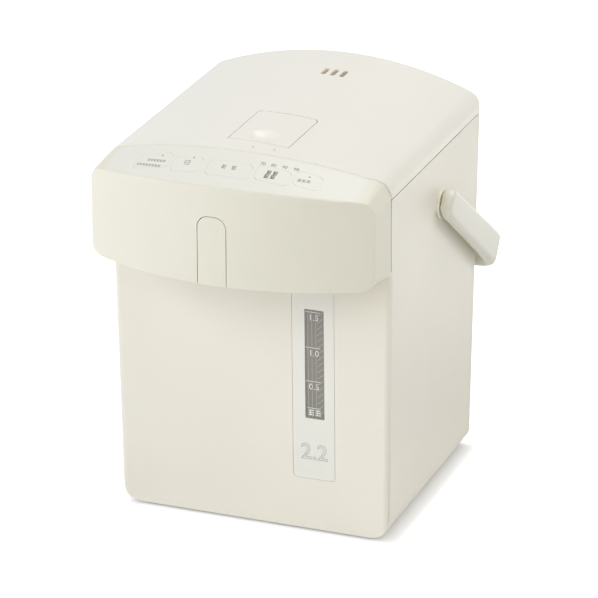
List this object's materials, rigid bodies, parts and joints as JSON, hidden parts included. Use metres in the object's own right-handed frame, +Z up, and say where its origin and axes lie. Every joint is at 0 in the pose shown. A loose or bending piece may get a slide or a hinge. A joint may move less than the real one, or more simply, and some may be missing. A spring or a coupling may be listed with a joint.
{
  "type": "electric thermo pot",
  "caption": "Square-bodied electric hot water pot with a hinged crowned lid, front dispensing head with keys and spout, level gauge and swinging carry handle.",
  "frame": {"origin": "middle of the outer box's base, on the table under the pot", "axes": "+Z is up; the front with the spout and gauge faces -Y; +X is to the right of a person who faces the front"},
  "size_m": [0.216, 0.2632, 0.274],
  "materials": {
    "case_plastic": "satin moulded polypropylene, warm cream",
    "lid_plastic": "satin moulded polypropylene, near white",
    "panel_film": "matt printed polyester film",
    "window": "clear smoked acrylic",
    "glass": "clear borosilicate tube",
    "steel": "brushed stainless steel",
    "shaft_steel": "polished steel",
    "heater": "cast aluminium plate with sheathed element",
    "dark_plastic": "glass filled black nylon",
    "foot_rubber": "black rubber",
    "silicone": "translucent white silicone",
    "vent_plastic": "brown heat resisting plastic",
    "board": "green laminate with components",
    "wire": "red insulated wire",
    "brass": "nickel free brass pins"
  },
  "bodies": {
    "pot": {"outer_case": "case_plastic", "base_plate": "case_plastic", "feet": "foot_rubber", "base_screws": "shaft_steel", "top_ring": "lid_plastic", "hinge_pin": "shaft_steel", "container": "steel", "heat_shield": "steel", "heater_plate": "heater", "thermostat": "dark_plastic", "pump_housing": "dark_plastic", "pump_cover": "dark_plastic", "pump_motor": "steel", "suction_hose": "silicone", "riser_elbow": "silicone", "level_tube": "glass", "upper_elbow": "silicone", "tip_valve": "lid_plastic", "outlet_pipe": "silicone", "spout_nozzle": "lid_plastic", "head_shell": "case_plastic", "head_bottom": "case_plastic", "spout_cover": "case_plastic", "control_panel": "panel_film", "control_board": "board", "gauge_panel": "panel_film", "gauge_window": "window", "power_board": "board", "wire_harness": "wire", "power_inlet": "dark_plastic", "inlet_pins": "brass", "handle_pins": "shaft_steel"},
    "lid": {"lid_cover": "lid_plastic", "lid_liner": "lid_plastic", "lid_plate": "steel", "lid_gasket": "silicone", "lid_screws": "shaft_steel", "steam_duct": "vent_plastic", "lever_pin": "shaft_steel", "lever_spring": "shaft_steel"},
    "handle": {"handle": "lid_plastic"},
    "lever": {"lid_lever": "lid_plastic"},
    "bolt": {"latch_bolt": "lid_plastic"},
    "valve_float": {"valve_plunger": "shaft_steel"},
    "magnet_rotor": {"drive_magnet": "dark_plastic"},
    "impeller_rotor": {"impeller": "lid_plastic"},
    "reboil_key_body": {"reboil_key": "panel_film"},
    "lock_key_body": {"lock_key": "panel_film"},
    "dispense_key_body": {"dispense_key": "panel_film"},
    "temperature_key_body": {"temperature_key": "panel_film"},
    "power_key_body": {"power_key": "panel_film"}
  },
  "joints": [
    {"name": "lid_hinge", "type": "hinge", "parent": "pot", "child": "lid", "pos_m": [0, 0.09688, 0.2514], "axis": [-1, 0, 0], "range_deg": [0, 90]},
    {"name": "lever_pivot", "type": "hinge", "parent": "lid", "child": "lever", "pos_m": [0.0093, -0.05057, 0.26902], "axis": [1, 0, 0], "range_deg": [0, 12.01], "deforming": ["lever_spring"]},
    {"name": "bolt_slide", "type": "slide", "parent": "lid", "child": "bolt", "axis": [0, 1, 0], "range_m": [0, 0.00406], "stiffness_N_per_m": 930, "springref_m": -0.0058},
    {"name": "handle_swing", "type": "hinge", "parent": "pot", "child": "handle", "pos_m": [0, 0.02288, 0.2063], "axis": [1, 0, 0], "range_deg": [0, 125]},
    {"name": "valve_lift", "type": "slide", "parent": "pot", "child": "valve_float", "axis": [0, 0, 1], "range_m": [0, 0.008]},
    {"name": "impeller_spin", "type": "hinge", "parent": "pot", "child": "impeller_rotor", "pos_m": [0.03, -0.0321, 0.0443], "axis": [0, 0, 1], "continuous": true},
    {"name": "magnet_spin", "type": "hinge", "parent": "pot", "child": "magnet_rotor", "pos_m": [0.03, -0.0321, 0.0383], "axis": [0, 0, 1], "continuous": true},
    {"name": "reboil_key_press", "type": "slide", "parent": "pot", "child": "reboil_key_body", "axis": [0, 0.4359, -0.9], "range_m": [0, 0.0008], "stiffness_N_per_m": 900, "springref_m": -0.0004},
    {"name": "lock_key_press", "type": "slide", "parent": "pot", "child": "lock_key_body", "axis": [0, 0.4359, -0.9], "range_m": [0, 0.0008], "stiffness_N_per_m": 900, "springref_m": -0.0004},
    {"name": "dispense_key_press", "type": "slide", "parent": "pot", "child": "dispense_key_body", "axis": [0, 0.4359, -0.9], "range_m": [0, 0.0008], "stiffness_N_per_m": 900, "springref_m": -0.0004},
    {"name": "temperature_key_press", "type": "slide", "parent": "pot", "child": "temperature_key_body", "axis": [0, 0.4359, -0.9], "range_m": [0, 0.0008], "stiffness_N_per_m": 900, "springref_m": -0.0004},
    {"name": "power_key_press", "type": "slide", "parent": "pot", "child": "power_key_body", "axis": [0, 0.4359, -0.9], "range_m": [0, 0.0008], "stiffness_N_per_m": 900, "springref_m": -0.0004}
  ],
  "couplings": [
    {"joint": "lever_pivot", "follows": "bolt_slide", "rad_per_m": 51.599},
    {"joint": "magnet_spin", "follows": "impeller_spin", "ratio": 1}
  ]
}
